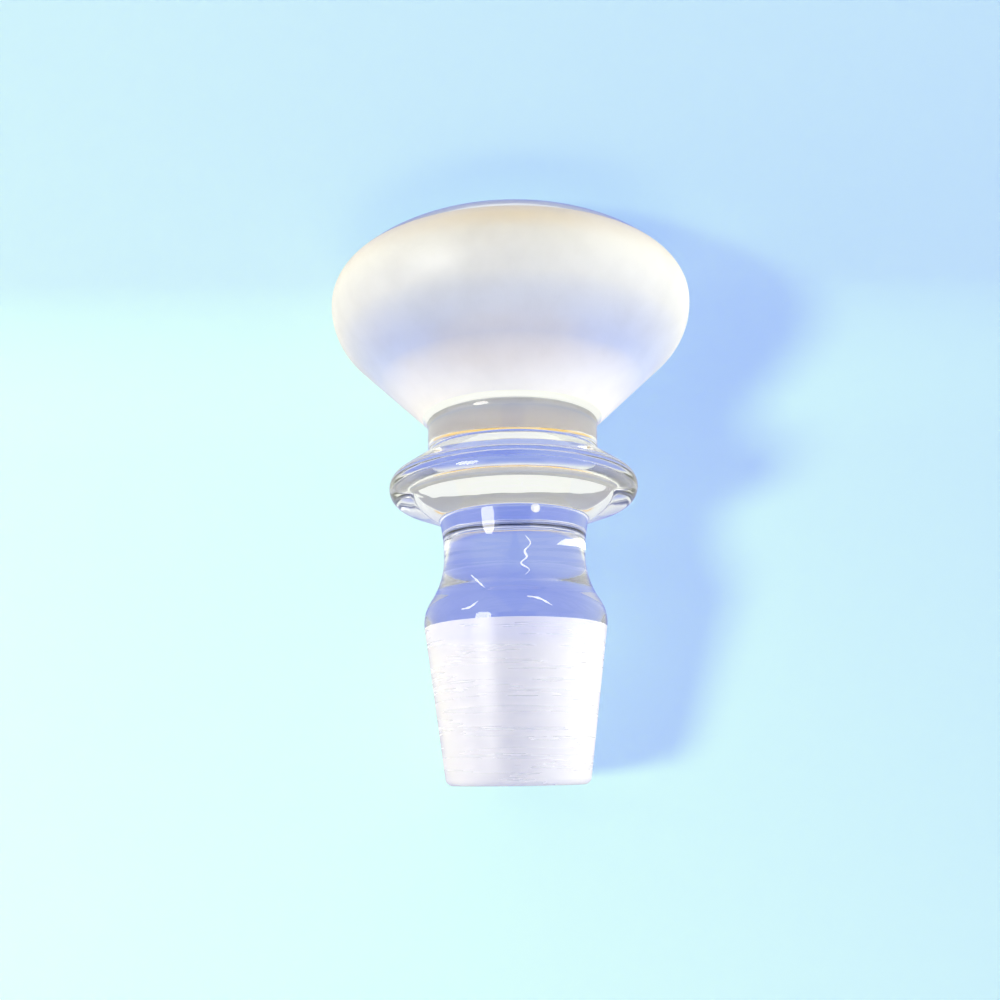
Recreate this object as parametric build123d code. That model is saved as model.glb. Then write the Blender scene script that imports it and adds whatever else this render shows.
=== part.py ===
"""A solid glass stopper: a wide knob, a collar and a ground plug, made as one piece.

It stands on the knob's flat top. The origin is the centre of that top, and the plug points up (+Z).
The shape is one outline turned about Z. Every stretch of it is a straight line or an arc.
"""
from build123d import *
from math import cos, hypot, radians, sin, sqrt, tan
import os

# Knob, from its flat top
knob_radius = 20.3            # at the widest
knob_widest_height = 7.7      # from the flat top to the widest circle
crown_radius = 15.8           # arc from the flat top out towards the rim
rim_top_radius = 4.3          # arc from the crown to the widest circle
rim_under_radius = 7.35       # arc from the widest circle to the cone beneath
knob_cone_angle = 46.5        # of the cone, from the axis
cove_radius = 2.0             # hollow between the cone and the upper neck

# Upper neck and collar
upper_neck_radius = 9.4
upper_neck_length = 3.6       # from the cone's corner to the collar
collar_radius = 13.6
collar_width = 7.35           # along the axis, where it leaves the necks
collar_rim_offset = 3.95      # from the collar's knob side to its rim
collar_round = 1.9            # at the rim
crease_round = 0.35           # where the collar leaves each neck

# Lower neck, waisted
waist_radius = 7.65
waist_offset = 4.2            # from the collar to the waist
neck_curve_radius = 19.0      # along the neck, above the waist
hollow_radius = 8.8           # along the neck, from the waist to the plug's shoulder
shoulder_round = 4.1

# Plug, ground to a taper
plug_radius = 9.75            # at its widest, on the shoulder
plug_length = 16.7            # from there to the end
plug_half_angle = 8.0
plug_corner_radius = 0.8


def tangent_point(point, centre, radius, side):
    """Where the line from a point touches a circle. side is +1 or -1 for the left or right touch."""
    across = centre[0] - point[0]
    along = centre[1] - point[1]
    distance = hypot(across, along)
    share = radius / distance
    reach = sqrt(1 - share * share)
    foot = distance * reach * reach
    lift = side * distance * share * reach
    unit = (across / distance, along / distance)
    return (point[0] + foot * unit[0] - lift * unit[1], point[1] + foot * unit[1] + lift * unit[0])


def on_circle(centre, radius, angle):
    """The point of a circle at an angle, in degrees, from the outward radius towards the plug."""
    return (centre[0] + radius * cos(radians(angle)), centre[1] + radius * sin(radians(angle)))


# Knob: the crown's arc is tangent to the flat top and to the rim's arc
rim_top_centre = (knob_radius - rim_top_radius, knob_widest_height)
rim_under_centre = (knob_radius - rim_under_radius, knob_widest_height)
crown_inset = sqrt((crown_radius - rim_top_radius) ** 2 - (crown_radius - knob_widest_height) ** 2)
crown_centre = (rim_top_centre[0] - crown_inset, crown_radius)
crown_share = crown_radius / (crown_radius - rim_top_radius)
crown_end = (
    crown_centre[0] + (rim_top_centre[0] - crown_centre[0]) * crown_share,
    crown_centre[1] + (rim_top_centre[1] - crown_centre[1]) * crown_share,
)
flat_radius = crown_centre[0]
cone_start = on_circle(rim_under_centre, rim_under_radius, knob_cone_angle)
cone_corner_height = cone_start[1] + (cone_start[0] - upper_neck_radius) / tan(radians(knob_cone_angle))

# Collar: two straight sides, each tangent to the round rim
collar_height = cone_corner_height + upper_neck_length
rim_centre = (collar_radius - collar_round, collar_height + collar_rim_offset)
collar_top = (upper_neck_radius, collar_height)
waist_height = collar_height + collar_width + waist_offset
neck_curve_centre_radius = waist_radius + neck_curve_radius
foot_radius = neck_curve_centre_radius - sqrt(neck_curve_radius**2 - waist_offset**2)
collar_foot = (foot_radius, collar_height + collar_width)
collar_top_touch = tangent_point(collar_top, rim_centre, collar_round, -1)
collar_foot_touch = tangent_point(collar_foot, rim_centre, collar_round, 1)

# Shoulder: an S of two tangent arcs from the waist out to the plug
swell = plug_radius - waist_radius
both_radii = hollow_radius + shoulder_round
swell_sine = sqrt(1 - (1 - swell / both_radii) ** 2)
shoulder_height = waist_height + both_radii * swell_sine
shoulder_centre = (plug_radius - shoulder_round, shoulder_height)
swell_join = (
    waist_radius + swell * hollow_radius / both_radii,
    waist_height + hollow_radius * swell_sine,
)

# Plug: the taper is tangent to the shoulder's arc
taper_start = on_circle(shoulder_centre, shoulder_round, plug_half_angle)
end_height = shoulder_height + plug_length
end_radius = taper_start[0] - (end_height - taper_start[1]) * tan(radians(plug_half_angle))

with BuildPart() as stopper:
    with BuildSketch(Plane.XZ) as half_section:
        with BuildLine() as outline:
            Line((0, 0), (flat_radius, 0))
            TangentArc((flat_radius, 0), crown_end, tangent=(1, 0))
            RadiusArc(crown_end, (knob_radius, knob_widest_height), -rim_top_radius)
            TangentArc((knob_radius, knob_widest_height), cone_start, tangent=(0, 1))
            Line(cone_start, (upper_neck_radius, cone_corner_height))
            Line((upper_neck_radius, cone_corner_height), collar_top)
            Line(collar_top, collar_top_touch)
            ThreePointArc(collar_top_touch, (collar_radius, rim_centre[1]), collar_foot_touch)
            Line(collar_foot_touch, collar_foot)
            RadiusArc(collar_foot, (waist_radius, waist_height), neck_curve_radius)
            TangentArc((waist_radius, waist_height), swell_join, tangent=(0, 1))
            RadiusArc(swell_join, (plug_radius, shoulder_height), -shoulder_round)
            TangentArc((plug_radius, shoulder_height), taper_start, tangent=(0, 1))
            Line(taper_start, (end_radius, end_height))
            Line((end_radius, end_height), (0, end_height))
            Line((0, end_height), (0, 0))
        make_face()
        rounds = [
            ((upper_neck_radius, cone_corner_height), cove_radius),
            (collar_top, crease_round),
            (collar_foot, crease_round),
            ((end_radius, end_height), plug_corner_radius),
        ]
        for (across, up), radius in rounds:
            nearest = half_section.vertices().sort_by_distance((across, up, 0))[0]
            fillet(nearest, radius)
    revolve(axis=Axis.Z)

os.makedirs("parts", exist_ok=True)
stopper.part.label = "stopper"
export_step(stopper.part, "parts/stopper.step")
print("overall height", round(end_height, 2), "flat top radius", round(flat_radius, 2))
print("taper length", round(end_height - taper_start[1], 2), "from", round(taper_start[0], 2), "to", round(end_radius, 2))
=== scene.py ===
from math import atan, cos, hypot, pi, radians, sin, sqrt, tan

import bmesh
import bpy
from mathutils import Matrix, Vector


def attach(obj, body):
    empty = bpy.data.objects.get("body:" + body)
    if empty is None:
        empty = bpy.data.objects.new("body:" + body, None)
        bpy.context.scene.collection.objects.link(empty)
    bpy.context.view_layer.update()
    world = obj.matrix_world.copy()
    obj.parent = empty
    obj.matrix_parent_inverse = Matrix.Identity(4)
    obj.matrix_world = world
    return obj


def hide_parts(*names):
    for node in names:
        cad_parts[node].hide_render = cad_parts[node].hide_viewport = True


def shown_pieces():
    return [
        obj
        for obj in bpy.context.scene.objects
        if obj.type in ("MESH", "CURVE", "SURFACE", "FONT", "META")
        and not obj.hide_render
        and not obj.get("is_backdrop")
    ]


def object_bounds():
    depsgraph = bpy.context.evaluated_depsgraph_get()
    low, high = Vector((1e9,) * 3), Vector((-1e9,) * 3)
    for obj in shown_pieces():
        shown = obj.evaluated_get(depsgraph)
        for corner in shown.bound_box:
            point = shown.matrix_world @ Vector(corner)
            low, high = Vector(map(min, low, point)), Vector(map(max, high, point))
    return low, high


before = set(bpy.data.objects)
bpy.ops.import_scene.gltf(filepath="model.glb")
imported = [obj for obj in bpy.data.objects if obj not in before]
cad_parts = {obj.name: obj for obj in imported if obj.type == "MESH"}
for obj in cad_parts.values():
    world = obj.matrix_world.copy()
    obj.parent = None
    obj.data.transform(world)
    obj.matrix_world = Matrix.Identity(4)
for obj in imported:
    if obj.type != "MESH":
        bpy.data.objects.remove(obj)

cad_low, cad_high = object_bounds()
scene = bpy.context.scene

# Stopper. One piece of soda glass, pressed hot with its knob, collar and waisted neck, then fire-polished.
# The knob's side is blasted matt and its flat crown is left bright. The plug is ground to a taper with
# emery on a wheel, which leaves it milky, with faint rings round it.
MM = 0.001
knob_radius = (cad_high.x - cad_low.x) / 2
stopper_height = cad_high.z
knob_widest_height = 7.7 * MM
crown_radius = 15.8 * MM
rim_top_radius = 4.3 * MM
rim_under_radius = 7.35 * MM
knob_cone_angle = radians(46.5)
cove_radius = 2.0 * MM
upper_neck_radius = 9.4 * MM
upper_neck_length = 3.6 * MM
collar_radius = 13.6 * MM
collar_width = 7.35 * MM
collar_rim_offset = 3.95 * MM
collar_round = 1.9 * MM
crease_round = 0.35 * MM
waist_radius = 7.65 * MM
waist_offset = 4.2 * MM
neck_curve_radius = 19.0 * MM
hollow_radius = 8.8 * MM
shoulder_round = 4.1 * MM
plug_radius = 9.75 * MM
plug_half_angle = radians(8.0)
plug_corner_radius = 0.8 * MM
lathe_sides = 256
glass_bending = 1.52


def arc(centre, radius, start, end, steps):
    """Points round a centre from one angle to another, without the first."""
    angles = [start + (end - start) * i / steps for i in range(1, steps + 1)]
    return [(centre[0] + radius * cos(angle), centre[1] + radius * sin(angle)) for angle in angles]


def straight(start, end, steps):
    """Points along a straight stretch, without the first."""
    shares = [i / steps for i in range(1, steps + 1)]
    return [(start[0] + (end[0] - start[0]) * s, start[1] + (end[1] - start[1]) * s) for s in shares]


def rounded(before, corner, after, radius, steps):
    """The rounded corner between two straight stretches, from tangent point to tangent point."""
    back = (Vector(before) - Vector(corner)).normalized()
    onward = (Vector(after) - Vector(corner)).normalized()
    half = back.angle(onward) / 2
    centre = Vector(corner) + (back + onward).normalized() * radius / sin(half)
    start = Vector(corner) + back * radius / tan(half) - centre
    end = Vector(corner) + onward * radius / tan(half) - centre
    turn = start.angle_signed(end)
    points = []
    for i in range(steps + 1):
        angle = -turn * i / steps
        across = start.x * cos(angle) - start.y * sin(angle)
        along = start.x * sin(angle) + start.y * cos(angle)
        points.append((centre.x + across, centre.y + along))
    return points


def touching(point, centre, radius, side):
    """Where a straight stretch from a point touches a round."""
    across, along = centre[0] - point[0], centre[1] - point[1]
    distance = hypot(across, along)
    share = radius / distance
    reach = sqrt(1 - share * share)
    onward = reach * reach
    lift = side * share * reach
    return (point[0] + onward * across - lift * along, point[1] + onward * along + lift * across)


rim_top = (knob_radius - rim_top_radius, knob_widest_height)
rim_under = (knob_radius - rim_under_radius, knob_widest_height)
crown_reach = sqrt((crown_radius - rim_top_radius) ** 2 - (crown_radius - knob_widest_height) ** 2)
crown = (rim_top[0] - crown_reach, crown_radius)
crown_turn = atan((crown[1] - rim_top[1]) / (rim_top[0] - crown[0]))
cone_start = (
    rim_under[0] + rim_under_radius * cos(knob_cone_angle),
    rim_under[1] + rim_under_radius * sin(knob_cone_angle),
)
cone_end = (upper_neck_radius, cone_start[1] + (cone_start[0] - upper_neck_radius) / tan(knob_cone_angle))
collar_top = (upper_neck_radius, cone_end[1] + upper_neck_length)
collar_rim = (collar_radius - collar_round, collar_top[1] + collar_rim_offset)
waist_height = collar_top[1] + collar_width + waist_offset
neck_centre = (waist_radius + neck_curve_radius, waist_height)
collar_foot = (neck_centre[0] - sqrt(neck_curve_radius**2 - waist_offset**2), collar_top[1] + collar_width)
touch_top = touching(collar_top, collar_rim, collar_round, -1)
touch_foot = touching(collar_foot, collar_rim, collar_round, 1)
rim_from = atan((touch_top[1] - collar_rim[1]) / (touch_top[0] - collar_rim[0]))
rim_to = atan((touch_foot[1] - collar_rim[1]) / (touch_foot[0] - collar_rim[0]))
neck_angle = 0.9 * atan(waist_offset / sqrt(neck_curve_radius**2 - waist_offset**2))
neck_next = (
    neck_centre[0] - neck_curve_radius * cos(neck_angle),
    neck_centre[1] - neck_curve_radius * sin(neck_angle),
)
swell_share = 1 - (plug_radius - waist_radius) / (hollow_radius + shoulder_round)
swell_angle = atan(sqrt(1 - swell_share**2) / swell_share)
shoulder = (plug_radius - shoulder_round, waist_height + (hollow_radius + shoulder_round) * sin(swell_angle))
taper_start = (
    shoulder[0] + shoulder_round * cos(plug_half_angle),
    shoulder[1] + shoulder_round * sin(plug_half_angle),
)
plug_end = (taper_start[0] - (stopper_height - taper_start[1]) * tan(plug_half_angle), stopper_height)

outline = [(0.0, 0.0)]
outline += straight(outline[-1], (crown[0], 0), 12)
outline += arc(crown, crown_radius, -pi / 2, -crown_turn, 24)
frost_from = len(outline) - 1
outline += arc(rim_top, rim_top_radius, -crown_turn, 0, 20)
outline += arc(rim_under, rim_under_radius, 0, knob_cone_angle, 24)
cove = rounded(cone_start, cone_end, collar_top, cove_radius, 14)
outline += straight(outline[-1], cove[0], 16)
frost_to = len(outline) - 1
outline += cove[1:]
top_crease = rounded(cone_end, collar_top, touch_top, crease_round, 8)
outline += straight(outline[-1], top_crease[0], 6) + top_crease[1:]
outline += straight(outline[-1], touch_top, 12)
outline += arc(collar_rim, collar_round, rim_from, rim_to, 28)
foot_crease = rounded(touch_foot, collar_foot, neck_next, crease_round, 8)
outline += straight(outline[-1], foot_crease[0], 12) + foot_crease[1:]
outline += straight(outline[-1], neck_next, 1)
outline += arc(neck_centre, neck_curve_radius, pi + neck_angle, pi, 14)
outline += arc((waist_radius + hollow_radius, waist_height), hollow_radius, pi, pi - swell_angle, 18)
outline += arc(shoulder, shoulder_round, -swell_angle, plug_half_angle, 18)
ground_from = len(outline) - 1
plug_corner = rounded(taper_start, plug_end, (0, stopper_height), plug_corner_radius, 8)
outline += straight(outline[-1], plug_corner[0], 24) + plug_corner[1:]
outline += straight(outline[-1], (0.0, stopper_height), 10)


def link(tree, source, target):
    """Joins one node's result to another's input."""
    tree.links.new(source, target)


def add_node(tree, kind, **settings):
    """A new node with its settings."""
    node = tree.nodes.new(kind)
    for key, value in settings.items():
        setattr(node, key, value)
    return node


def sum_of(tree, kind, first, second=0):
    """One step of arithmetic on two values, each a number or another node's result."""
    step = add_node(tree, "ShaderNodeMath", operation=kind)
    for socket, value in zip(step.inputs, (first, second)):
        if isinstance(value, (int, float)):
            socket.default_value = value
        else:
            link(tree, value, socket)
    return step.outputs[0]


def fade(tree, value, start, end):
    """A soft change from 0 at one value to 1 at another."""
    span = add_node(tree, "ShaderNodeMapRange", interpolation_type="SMOOTHSTEP")
    span.inputs["From Min"].default_value = start
    span.inputs["From Max"].default_value = end
    link(tree, value, span.inputs["Value"])
    return span.outputs["Result"]


def two_tints(tree, value, low, high):
    """A colour between two tints, each a colour or another node's result."""
    mix = add_node(tree, "ShaderNodeMix", data_type="RGBA")
    link(tree, value, mix.inputs["Factor"])
    for socket, tint in ((mix.inputs["A"], low), (mix.inputs["B"], high)):
        if isinstance(tint, tuple):
            socket.default_value = (*tint, 1)
        else:
            link(tree, tint, socket)
    return mix.outputs["Result"]


def glass(name, colour, transmission):
    """A glass material with its colour and clearness. Its surface is added after."""
    material = bpy.data.materials.new(name)
    material.use_nodes = True
    shader = material.node_tree.nodes["Principled BSDF"]
    shader.inputs["Base Color"].default_value = (*colour, 1)
    shader.inputs["IOR"].default_value = glass_bending
    shader.inputs["Transmission Weight"].default_value = transmission
    return material, material.node_tree, shader


def grain(tree, scale, detail, stretch=(1, 1, 1)):
    """Noise on the piece's own coordinates, drawn out along one axis where the tool ran that way."""
    place = add_node(tree, "ShaderNodeTexCoord")
    draw = add_node(tree, "ShaderNodeMapping")
    draw.inputs["Scale"].default_value = stretch
    noise = add_node(tree, "ShaderNodeTexNoise")
    noise.inputs["Scale"].default_value = scale
    noise.inputs["Detail"].default_value = detail
    link(tree, place.outputs["Object"], draw.inputs["Vector"])
    link(tree, draw.outputs["Vector"], noise.inputs["Vector"])
    return noise.outputs["Fac"]


def spread(tree, value, low, high):
    """Turns a grain into a value between two limits."""
    span = add_node(tree, "ShaderNodeMapRange")
    span.inputs["From Min"].default_value = 0.3
    span.inputs["From Max"].default_value = 0.7
    span.inputs["To Min"].default_value = low
    span.inputs["To Max"].default_value = high
    link(tree, value, span.inputs["Value"])
    return span.outputs["Result"]


def relief(tree, shader, value, depth, before=None):
    """Raises or sinks the surface by a value, on top of an earlier relief."""
    bump = add_node(tree, "ShaderNodeBump")
    bump.inputs["Strength"].default_value = 1.0
    bump.inputs["Distance"].default_value = depth
    link(tree, value, bump.inputs["Height"])
    if before:
        link(tree, before, bump.inputs["Normal"])
    link(tree, bump.outputs["Normal"], shader.inputs["Normal"])
    return bump.outputs["Normal"]


bright, tree, shader = glass("fire_polished_glass", (1.0, 1.0, 1.0), 1.0)
link(tree, spread(tree, grain(tree, 300, 3), 0.0, 0.03), shader.inputs["Roughness"])
relief(tree, shader, grain(tree, 180, 2, (1, 1, 2.5)), 0.03 * MM)

matt, tree, shader = glass("blasted_matt_glass_painted_light", (1.0, 0.985, 0.96), 0.45)
link(tree, spread(tree, grain(tree, 260, 4), 0.38, 0.5), shader.inputs["Roughness"])
pits = relief(tree, shader, grain(tree, 9000, 3), 0.012 * MM)
relief(tree, shader, grain(tree, 700, 3, (1, 1, 2)), 0.02 * MM, pits)
# Painted light on the knob's matt side: its colour runs by height, cream by the crown, grey round the widest
# part, a painted lilac-blue shade on the cone and white by the neck, in place of the warm and blue light
# that falls there.
matt_top = 22 * MM
matt_painted_light = (
    (0.15, (1.0, 0.96, 0.88)),
    (0.36, (0.86, 0.88, 0.87)),
    (0.52, (0.80, 0.83, 0.87)),
    (0.73, (0.49, 0.60, 0.95)),
    (0.95, (0.98, 0.97, 1.0)),
)
place = add_node(tree, "ShaderNodeTexCoord")
parts = add_node(tree, "ShaderNodeSeparateXYZ")
link(tree, place.outputs["Object"], parts.inputs[0])
up_the_knob = add_node(tree, "ShaderNodeMapRange")
up_the_knob.inputs["From Max"].default_value = matt_top
link(tree, parts.outputs["Z"], up_the_knob.inputs["Value"])
tints = add_node(tree, "ShaderNodeValToRGB")
stops = tints.color_ramp.elements
for number, (position, tint) in enumerate(matt_painted_light):
    stop = stops.new(position) if number > 0 else stops[0]
    stop.position = position
    stop.color = (*tint, 1)
stops.remove(stops[len(stops) - 1])
link(tree, up_the_knob.outputs["Result"], tints.inputs["Fac"])
shades = add_node(tree, "ShaderNodeValToRGB")
shades.color_ramp.elements[0].position = 0.3
shades.color_ramp.elements[0].color = (0.88, 0.88, 0.88, 1)
shades.color_ramp.elements[1].position = 0.6
link(tree, grain(tree, 300, 5), shades.inputs["Fac"])
cloud = add_node(tree, "ShaderNodeMix", data_type="RGBA", blend_type="MULTIPLY")
cloud.inputs["Factor"].default_value = 0.5
link(tree, tints.outputs["Color"], cloud.inputs["A"])
link(tree, shades.outputs["Color"], cloud.inputs["B"])
link(tree, cloud.outputs["Result"], shader.inputs["Base Color"])

ground, tree, shader = glass("emery_ground_glass", (1.0, 1.0, 1.0), 0.5)
link(tree, spread(tree, grain(tree, 60, 4, (1, 1, 22)), 0.2, 0.36), shader.inputs["Roughness"])
emery = relief(tree, shader, grain(tree, 7000, 2, (1, 1, 1.5)), 0.01 * MM)
relief(tree, shader, grain(tree, 3, 1, (1, 1, 260)), 0.006 * MM, emery)
wear = spread(tree, grain(tree, 30, 3, (1, 1, 45)), 0.0, 1.0)
link(tree, two_tints(tree, wear, (0.975, 0.98, 0.99), (1.0, 1.0, 1.0)), shader.inputs["Base Color"])


def named_inputs(tree, titles, result):
    """Gives a node tree its named inputs and its one result. Hands back the identifier of each input."""
    identifiers = {}
    for title, kind in titles:
        entry = tree.interface.new_socket(name=title, in_out="INPUT", socket_type="NodeSocket" + kind)
        identifiers[title] = entry.identifier
    tree.interface.new_socket(name=result, in_out="OUTPUT", socket_type="NodeSocketGeometry")
    return identifiers


lathe = bpy.data.node_groups.new("turned_glass", "GeometryNodeTree")
lathe_titles = (
    ("Outline", "Geometry"),
    ("Outline Points", "Int"),
    ("Sides", "Int"),
    ("Matt From", "Int"),
    ("Matt To", "Int"),
    ("Ground From", "Int"),
    ("Bright Glass", "Material"),
    ("Matt Glass", "Material"),
    ("Ground Glass", "Material"),
)
socket_of = named_inputs(lathe, lathe_titles, "Turned")
given = lathe.nodes.new("NodeGroupInput").outputs
sheet = add_node(lathe, "GeometryNodeMeshGrid")
sheet.inputs["Size X"].default_value = 1
sheet.inputs["Size Y"].default_value = 1
link(lathe, sum_of(lathe, "ADD", given["Sides"], 1), sheet.inputs["Vertices X"])
link(lathe, given["Outline Points"], sheet.inputs["Vertices Y"])
spot = add_node(lathe, "ShaderNodeSeparateXYZ")
link(lathe, add_node(lathe, "GeometryNodeInputPosition").outputs[0], spot.inputs[0])
turned_by = sum_of(lathe, "MULTIPLY", sum_of(lathe, "ADD", spot.outputs["X"], 0.5), 2 * pi)
last_point = sum_of(lathe, "SUBTRACT", given["Outline Points"], 1)
step_along = sum_of(lathe, "MULTIPLY", sum_of(lathe, "ADD", spot.outputs["Y"], 0.5), last_point)
read = add_node(lathe, "GeometryNodeSampleIndex", data_type="FLOAT_VECTOR", domain="POINT")
link(lathe, given["Outline"], read.inputs["Geometry"])
link(lathe, add_node(lathe, "GeometryNodeInputPosition").outputs[0], read.inputs["Value"])
link(lathe, sum_of(lathe, "ROUND", step_along), read.inputs["Index"])
edge = add_node(lathe, "ShaderNodeSeparateXYZ")
link(lathe, read.outputs["Value"], edge.inputs[0])
placed = add_node(lathe, "ShaderNodeCombineXYZ")
for axis, share in (("X", sum_of(lathe, "COSINE", turned_by)), ("Y", sum_of(lathe, "SINE", turned_by))):
    link(lathe, sum_of(lathe, "MULTIPLY", edge.outputs["X"], share), placed.inputs[axis])
link(lathe, edge.outputs["Z"], placed.inputs["Z"])
keep = add_node(lathe, "GeometryNodeStoreNamedAttribute", data_type="FLOAT", domain="POINT")
keep.inputs["Name"].default_value = "step_along"
link(lathe, sheet.outputs["Mesh"], keep.inputs["Geometry"])
link(lathe, step_along, keep.inputs["Value"])
turn = add_node(lathe, "GeometryNodeSetPosition")
link(lathe, keep.outputs["Geometry"], turn.inputs["Geometry"])
link(lathe, placed.outputs[0], turn.inputs["Position"])
join_seam = add_node(lathe, "GeometryNodeMergeByDistance")
join_seam.inputs["Distance"].default_value = 0.0005 * MM
link(lathe, turn.outputs["Geometry"], join_seam.inputs["Geometry"])
smooth = add_node(lathe, "GeometryNodeSetShadeSmooth")
link(lathe, join_seam.outputs["Geometry"], smooth.inputs["Geometry"])
lay = add_node(lathe, "GeometryNodeRealizeInstances")
link(lathe, smooth.outputs["Geometry"], lay.inputs["Geometry"])
along = add_node(lathe, "GeometryNodeInputNamedAttribute", data_type="FLOAT")
along.inputs["Name"].default_value = "step_along"
after_matt = sum_of(lathe, "GREATER_THAN", along.outputs["Attribute"], given["Matt From"])
before_cove = sum_of(lathe, "LESS_THAN", along.outputs["Attribute"], given["Matt To"])
finish_zones = (
    ("Bright Glass", sum_of(lathe, "GREATER_THAN", along.outputs["Attribute"], -1)),
    ("Matt Glass", sum_of(lathe, "MULTIPLY", after_matt, before_cove)),
    ("Ground Glass", sum_of(lathe, "GREATER_THAN", along.outputs["Attribute"], given["Ground From"])),
)
shape = lay.outputs["Geometry"]
for title, chosen in finish_zones:
    coat = add_node(lathe, "GeometryNodeSetMaterial")
    link(lathe, shape, coat.inputs["Geometry"])
    link(lathe, chosen, coat.inputs["Selection"])
    link(lathe, given[title], coat.inputs["Material"])
    shape = coat.outputs["Geometry"]
clean = add_node(lathe, "GeometryNodeRemoveAttribute")
clean.inputs["Name"].default_value = "step_along"
link(lathe, shape, clean.inputs["Geometry"])
link(lathe, clean.outputs["Geometry"], lathe.nodes.new("NodeGroupOutput").inputs[0])


def grown(name, base, tree, values):
    """Grows a piece from its base through its node tree, and hands it back as a plain mesh."""
    piece = bpy.data.objects.new(name, base)
    scene.collection.objects.link(piece)
    growth = piece.modifiers.new(name, "NODES")
    growth.node_group = tree
    for identifier, value in values.items():
        growth[identifier] = value
    bpy.context.view_layer.update()
    mesh = bpy.data.meshes.new_from_object(piece.evaluated_get(bpy.context.evaluated_depsgraph_get()))
    piece.modifiers.remove(growth)
    coats = [coat for coat in mesh.materials if coat]
    slots = [coats.index(coat) if coat else 0 for coat in mesh.materials]
    faces_in = [0] * len(mesh.polygons)
    mesh.polygons.foreach_get("material_index", faces_in)
    mesh.materials.clear()
    for coat in coats:
        mesh.materials.append(coat)
    mesh.polygons.foreach_set("material_index", [slots[slot] for slot in faces_in])
    mesh.name = name
    piece.data = mesh
    return piece


outline_mesh = bpy.data.meshes.new("stopper_outline")
outline_mesh.from_pydata([(r, 0, z) for r, z in outline], [(i, i + 1) for i in range(len(outline) - 1)], [])
stopper = grown("stopper_glass", outline_mesh, lathe, {
    socket_of["Outline Points"]: len(outline),
    socket_of["Sides"]: lathe_sides,
    socket_of["Matt From"]: frost_from,
    socket_of["Matt To"]: frost_to,
    socket_of["Ground From"]: ground_from,
    socket_of["Bright Glass"]: bright,
    socket_of["Matt Glass"]: matt,
    socket_of["Ground Glass"]: ground,
})
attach(stopper, "root")
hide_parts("stopper")

# Flaws in the glass. One air bubble sits in the lower neck, and a few drawn-out seeds and cords lie near its
# front, where the hot gather was folded on itself. They are milky threads of air, sealed in by the pressing.
thread_thickness = 0.22 * MM
bubble_size = 0.95 * MM
bubble_place = (-2.1, -7.3, 32.5)
threads = (
    (
        (-1.0, -6.7, 35.3), (-1.5, -6.6, 36.1), (-0.9, -6.6, 36.9), (-1.1, -6.6, 37.6),
        (-0.5, -6.6, 38.3), (-1.3, -6.7, 39.0), (-0.9, -6.8, 39.6),
    ),
    ((4.4, -6.0, 39.3), (3.9, -6.4, 39.9), (3.5, -6.6, 40.4), (3.0, -7.0, 41.0)),
    ((5.3, -7.0, 42.9), (4.5, -7.5, 42.8), (3.7, -7.8, 42.3)),
    ((-1.0, -8.1, 42.0), (-2.2, -8.0, 42.2), (-3.4, -7.9, 42.8)),
)
milky, tree, shader = glass("milky_thread_painted_glow", (0.97, 0.97, 1.0), 0.0)
shader.inputs["Roughness"].default_value = 0.35
# Painted light: a faint glow of their own stands in for the lamp light that reaches the threads through the
# glass.
shader.inputs["Emission Color"].default_value = (0.93, 0.96, 1.0, 1)
shader.inputs["Emission Strength"].default_value = 0.55
cloudy = spread(tree, grain(tree, 900, 3), 0.0, 1.0)
link(tree, two_tints(tree, cloudy, (0.82, 0.86, 0.96), (0.98, 0.98, 1.0)), shader.inputs["Base Color"])

drawing = bpy.data.node_groups.new("drawn_thread", "GeometryNodeTree")
drawing_titles = (("Path", "Geometry"), ("Thickness", "Float"), ("Material", "Material"))
thread_socket = named_inputs(drawing, drawing_titles, "Thread")
given = drawing.nodes.new("NodeGroupInput").outputs
path = add_node(drawing, "GeometryNodeMeshToCurve")
link(drawing, given["Path"], path.inputs["Mesh"])
bend = add_node(drawing, "GeometryNodeCurveSplineType", spline_type="CATMULL_ROM")
link(drawing, path.outputs["Curve"], bend.inputs["Curve"])
fine = add_node(drawing, "GeometryNodeResampleCurve")
fine.inputs["Count"].default_value = 28
link(drawing, bend.outputs["Curve"], fine.inputs["Curve"])
thread_ripples = 19.0
along_it = add_node(drawing, "GeometryNodeSplineParameter").outputs["Factor"]
bulge = sum_of(drawing, "SINE", sum_of(drawing, "MULTIPLY", along_it, pi))
wave = sum_of(drawing, "SINE", sum_of(drawing, "MULTIPLY", along_it, thread_ripples))
ripple = sum_of(drawing, "ADD", 0.75, sum_of(drawing, "MULTIPLY", 0.25, wave))
body = sum_of(drawing, "ADD", 0.25, sum_of(drawing, "MULTIPLY", 0.75, bulge))
width = sum_of(drawing, "MULTIPLY", body, ripple)
half_thickness = sum_of(drawing, "MULTIPLY", given["Thickness"], 0.5)
swell = add_node(drawing, "GeometryNodeSetCurveRadius")
link(drawing, fine.outputs["Curve"], swell.inputs["Curve"])
link(drawing, sum_of(drawing, "MULTIPLY", half_thickness, width), swell.inputs["Radius"])
ring = add_node(drawing, "GeometryNodeCurvePrimitiveCircle")
ring.inputs["Resolution"].default_value = 10
ring.inputs["Radius"].default_value = 1
tube = add_node(drawing, "GeometryNodeCurveToMesh")
tube.inputs["Fill Caps"].default_value = True
link(drawing, swell.outputs["Curve"], tube.inputs["Curve"])
link(drawing, ring.outputs["Curve"], tube.inputs["Profile Curve"])
link(drawing, add_node(drawing, "GeometryNodeInputRadius").outputs["Radius"], tube.inputs["Scale"])
lay = add_node(drawing, "GeometryNodeRealizeInstances")
link(drawing, tube.outputs["Mesh"], lay.inputs["Geometry"])
coat = add_node(drawing, "GeometryNodeSetMaterial")
link(drawing, lay.outputs["Geometry"], coat.inputs["Geometry"])
link(drawing, given["Material"], coat.inputs["Material"])
link(drawing, coat.outputs["Geometry"], drawing.nodes.new("NodeGroupOutput").inputs[0])

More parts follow.
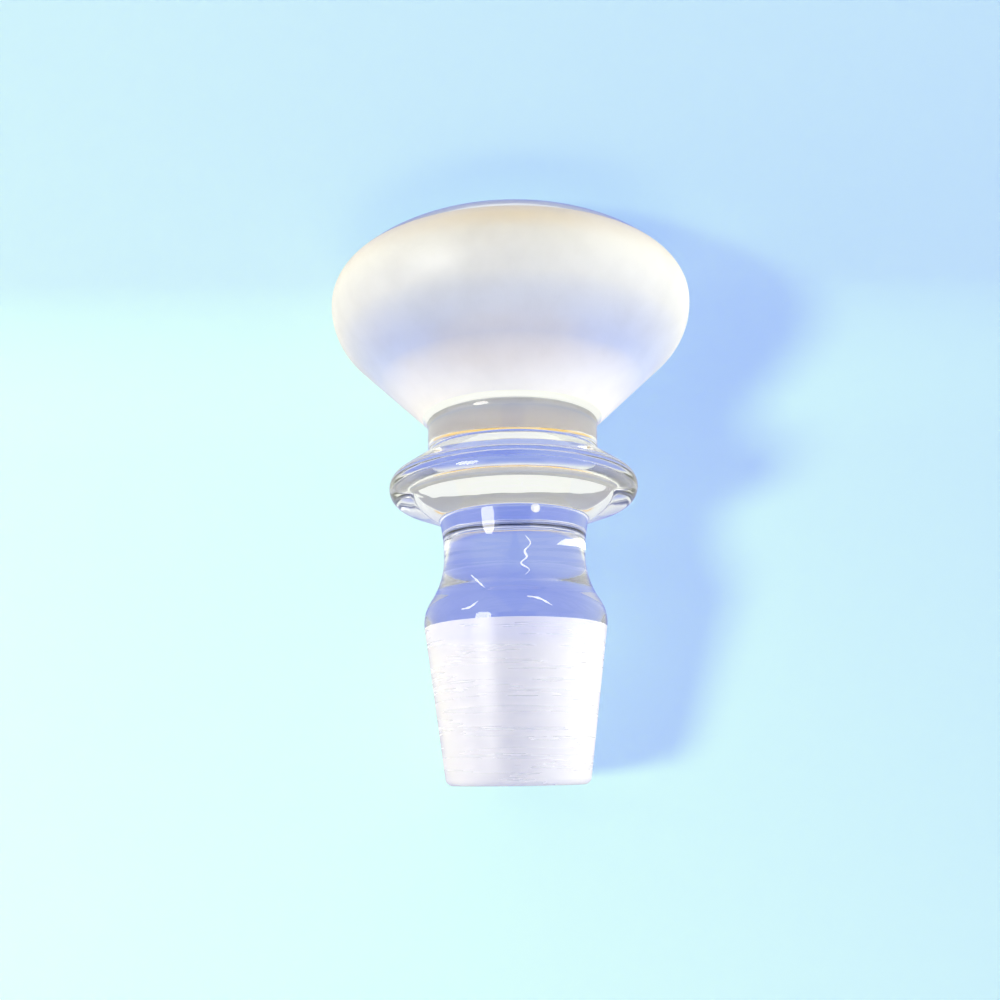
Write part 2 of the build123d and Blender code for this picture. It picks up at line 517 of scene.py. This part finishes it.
for number, points in enumerate(threads, 1):
    path_mesh = bpy.data.meshes.new("thread_path")
    steps = [(i, i + 1) for i in range(len(points) - 1)]
    path_mesh.from_pydata([Vector(point) * MM for point in points], steps, [])
    thread = grown(f"glass_thread_{number}", path_mesh, drawing, {
        thread_socket["Thickness"]: thread_thickness,
        thread_socket["Material"]: milky,
    })
    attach(thread, "root")

air, tree, shader = glass("trapped_air_painted_glow", (1.0, 1.0, 1.0), 0.55)
shader.inputs["IOR"].default_value = 1.9
# Painted light: a faint glow of its own stands in for light falling on the bubble.
shader.inputs["Emission Color"].default_value = (0.93, 0.96, 1.0, 1)
shader.inputs["Emission Strength"].default_value = 0.2
link(tree, spread(tree, grain(tree, 900, 2), 0.02, 0.1), shader.inputs["Roughness"])
bubble_mesh = bpy.data.meshes.new("air_bubble")
ball = bmesh.new()
bmesh.ops.create_icosphere(ball, subdivisions=4, radius=bubble_size / 2)
bmesh.ops.translate(ball, verts=ball.verts, vec=Vector(bubble_place) * MM)
ball.to_mesh(bubble_mesh)
ball.free()
bubble_mesh.materials.append(air)
bubble_mesh.polygons.foreach_set("use_smooth", [True] * len(bubble_mesh.polygons))
bubble = bpy.data.objects.new("air_bubble", bubble_mesh)
scene.collection.objects.link(bubble)
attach(bubble, "root")

# Stage. A sheet of pale card swept up from the bench in a soft corner, close behind the stopper. It is
# one-sided, so that it doesn't hide the stopper from behind. Through the glass it shows a painted blue
# shadow behind and in front of the stopper, a pale part at its foot and sides, and a little painted amber
# reflection under the knob.
sweep_front = 0.6
sweep_half_width = 0.6
sweep_rise = 0.6
sweep_foot = 24.7 * MM
sweep_lean = radians(13.5)
sweep_corner = 14 * MM
sweep_under = -0.03 * MM
sweep_edge = [(-sweep_front, sweep_under)]
sweep_way = (sweep_foot - sin(sweep_lean), cos(sweep_lean))
sweep_edge += rounded(sweep_edge[0], (sweep_foot, sweep_under), sweep_way, sweep_corner, 16)
sweep_edge.append((sweep_foot - sweep_rise * sin(sweep_lean), sweep_rise * cos(sweep_lean)))
sweep_points = [(x, y, z) for y, z in sweep_edge for x in (-sweep_half_width, sweep_half_width)]
sweep_faces = [(2 * i, 2 * i + 1, 2 * i + 3, 2 * i + 2) for i in range(len(sweep_edge) - 1)]
sweep_mesh = bpy.data.meshes.new("card_sweep")
sweep_mesh.from_pydata(sweep_points, [], sweep_faces)
sweep_mesh.polygons.foreach_set("use_smooth", [True] * len(sweep_faces))

card = bpy.data.materials.new("pale_card")
card.use_nodes = True
tree = card.node_tree
tree.nodes.clear()
ray = add_node(tree, "ShaderNodeLightPath")
by_glass = sum_of(tree, "MAXIMUM", ray.outputs["Is Glossy Ray"], ray.outputs["Is Transmission Ray"])
seen = sum_of(tree, "MAXIMUM", ray.outputs["Is Camera Ray"], by_glass)


def shown(first, second, share):
    """One look of the card, or another, by a share."""
    either = add_node(tree, "ShaderNodeMixShader")
    link(tree, share, either.inputs[0])
    link(tree, first.outputs[0], either.inputs[1])
    link(tree, second.outputs[0], either.inputs[2])
    return either


def surface(kind, colour):
    """A plain surface or glow of one colour."""
    node = add_node(tree, kind)
    node.inputs["Color"].default_value = (*colour, 1)
    return node


card_by_bounce = surface("ShaderNodeBsdfDiffuse", (0.75, 0.68, 0.54))
card_lit = surface("ShaderNodeBsdfDiffuse", (0.31, 0.46, 0.03))
card_lit_by_glass = surface("ShaderNodeBsdfDiffuse", (0.10, 0.12, 0.03))
card_in_shade = surface("ShaderNodeEmission", (0.305, 0.455, 0.955))
card_behind_glass = surface("ShaderNodeEmission", (1.0, 1.0, 1.0))

# Painted shadow and painted reflection, seen only through the glass: the card shows blue close beside the
# stopper, in front of it and higher up it, where its shade would fall, and amber blotches under the knob in
# place of warm light from the room.
pale_card = (0.92, 0.93, 0.90)
painted_shadow_blue = (0.20, 0.27, 0.78)
painted_amber_reflection = (0.95, 0.58, 0.10)
shade_rise = (11 * MM, 19 * MM)
shade_front = (5 * MM, -1 * MM)
shade_side = (26 * MM, 13 * MM)
painted_reflection_reach = 16 * MM
spot = add_node(tree, "ShaderNodeTexCoord").outputs["Object"]
here = add_node(tree, "ShaderNodeSeparateXYZ")
link(tree, spot, here.inputs[0])
near_side = fade(tree, here.outputs["Y"], *shade_front)
beside = fade(tree, sum_of(tree, "ABSOLUTE", here.outputs["X"]), *shade_side)
dim = sum_of(tree, "MAXIMUM", fade(tree, here.outputs["Z"], *shade_rise), near_side)
shade_mix = two_tints(tree, sum_of(tree, "MULTIPLY", dim, beside), pale_card, painted_shadow_blue)
reach = add_node(tree, "ShaderNodeVectorMath", operation="LENGTH")
link(tree, spot, reach.inputs[0])
close_by = sum_of(tree, "LESS_THAN", reach.outputs["Value"], painted_reflection_reach)
warm_place = sum_of(tree, "MULTIPLY", close_by, sum_of(tree, "SUBTRACT", 1, near_side))
warm_share = sum_of(tree, "MULTIPLY", warm_place, spread(tree, grain(tree, 300, 2), 0.2, 1.4))
link(tree, two_tints(tree, warm_share, shade_mix, painted_amber_reflection), card_behind_glass.inputs["Color"])
both = add_node(tree, "ShaderNodeAddShader")
link(tree, shown(card_lit, card_lit_by_glass, by_glass).outputs[0], both.inputs[0])
link(tree, shown(card_in_shade, card_behind_glass, by_glass).outputs[0], both.inputs[1])
look = shown(card_by_bounce, both, seen)
face = add_node(tree, "ShaderNodeNewGeometry")
gone = add_node(tree, "ShaderNodeBsdfTransparent")
one_sided = shown(look, gone, face.outputs["Backfacing"])
link(tree, one_sided.outputs[0], add_node(tree, "ShaderNodeOutputMaterial").inputs[0])
sweep_mesh.materials.append(card)
sweep = bpy.data.objects.new("card_sweep", sweep_mesh)
scene.collection.objects.link(sweep)
sweep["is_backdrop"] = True

# Light. Faint daylight from all round, and one lamp for the long shadow on the card. The glass has five soft
# lamps of its own, and sees a bluish room with bright windows at both sides and above.
world = bpy.data.worlds.new("studio")
scene.world = world
world.use_nodes = True
tree = world.node_tree
ambient = tree.nodes["Background"]
ambient.inputs["Color"].default_value = (0.75, 0.85, 1.0, 1)
ambient.inputs["Strength"].default_value = 0.05
way = add_node(tree, "ShaderNodeSeparateXYZ")
link(tree, add_node(tree, "ShaderNodeTexCoord").outputs["Generated"], way.inputs[0])
bright_way = sum_of(tree, "MAXIMUM", sum_of(tree, "ABSOLUTE", way.outputs["X"]), way.outputs["Z"])
window_edge = (0.35, 0.5)
room_blue = (0.14, 0.18, 0.60)
window_white = (1.5, 1.5, 1.45)
room = add_node(tree, "ShaderNodeBackground")
room_colour = two_tints(tree, fade(tree, bright_way, *window_edge), room_blue, window_white)
link(tree, room_colour, room.inputs["Color"])
ray = add_node(tree, "ShaderNodeLightPath")
by_glass = sum_of(tree, "MAXIMUM", ray.outputs["Is Glossy Ray"], ray.outputs["Is Transmission Ray"])
far_wall = surface("ShaderNodeBackground", (0.50, 0.78, 0.92))
round_about = shown(shown(ambient, room, by_glass), far_wall, ray.outputs["Is Camera Ray"])
link(tree, round_about.outputs[0], tree.nodes["World Output"].inputs[0])

glass_only = bpy.data.collections.new("glass_only")
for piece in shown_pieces():
    glass_only.objects.link(piece)
card_only = bpy.data.collections.new("card_only")
card_only.objects.link(sweep)


def lamp(name, place, target, size, power, colour, receiver, mirrored):
    """A round lamp that lights only the receiver, and shows in the glass only if it is mirrored."""
    light = bpy.data.lights.new(name, "AREA")
    light.shape = "DISK"
    light.size = size
    light.energy = power
    light.color = colour
    holder = bpy.data.objects.new(name, light)
    holder.location = place
    holder.rotation_euler = (Vector(target) - Vector(place)).to_track_quat("-Z", "Y").to_euler()
    holder.light_linking.receiver_collection = receiver
    holder.visible_glossy = mirrored
    holder.visible_transmission = mirrored
    scene.collection.objects.link(holder)


middle = (0, 0, 0.03)
knob_middle = (0, 0, 0.012)
bench_centre = (0, 0, 0.02)
lamp("right_lamp", (0.26, -0.30, 0.12), middle, 0.08, 1.9, (1.0, 0.98, 0.93), card_only, True)
lamp("right_lamp_on_glass", (0.25, -0.29, 0.06), middle, 0.14, 0.55, (1.0, 0.97, 0.87), glass_only, True)
lamp("low_lamp", (0.0, -0.26, -0.14), knob_middle, 0.16, 1.05, (1.0, 0.94, 0.77), glass_only, False)
lamp("high_lamp", (0.0, -0.16, 0.30), bench_centre, 0.16, 0.35, (0.60, 0.68, 1.0), glass_only, False)
lamp("left_card", (0.26, -0.04, 0.03), middle, 0.16, 0.65, (1.0, 0.99, 0.95), glass_only, False)
lamp("right_card", (-0.26, -0.04, 0.03), middle, 0.16, 1.6, (1.0, 0.98, 0.91), glass_only, False)

# Camera. It stands close in front, a little above, and is held upside down, so that the knob is at the top.
scene.view_settings.view_transform = "Standard"
scene.cycles.transmission_bounces = 24
scene.cycles.max_bounces = 32
camera_rise = radians(14.1)
camera_tilt = radians(0.83)
camera_distance = 117.9 * MM
camera_aim = Vector((1.5 * MM, 0, 29.78 * MM))
camera_way = Vector((0, -cos(camera_rise), sin(camera_rise)))
camera_data = bpy.data.cameras.new("camera")
camera_data.sensor_width = 36
camera_data.lens = 36 * 1.072
camera_data.clip_start = 0.005
camera = bpy.data.objects.new("camera", camera_data)
scene.collection.objects.link(camera)
facing = (-camera_way).to_track_quat("-Z", "Y").to_matrix().to_4x4()
stand = Matrix.Translation(camera_aim + camera_way * camera_distance)
camera.matrix_world = stand @ facing @ Matrix.Rotation(pi - camera_tilt, 4, "Z")
scene.camera = camera
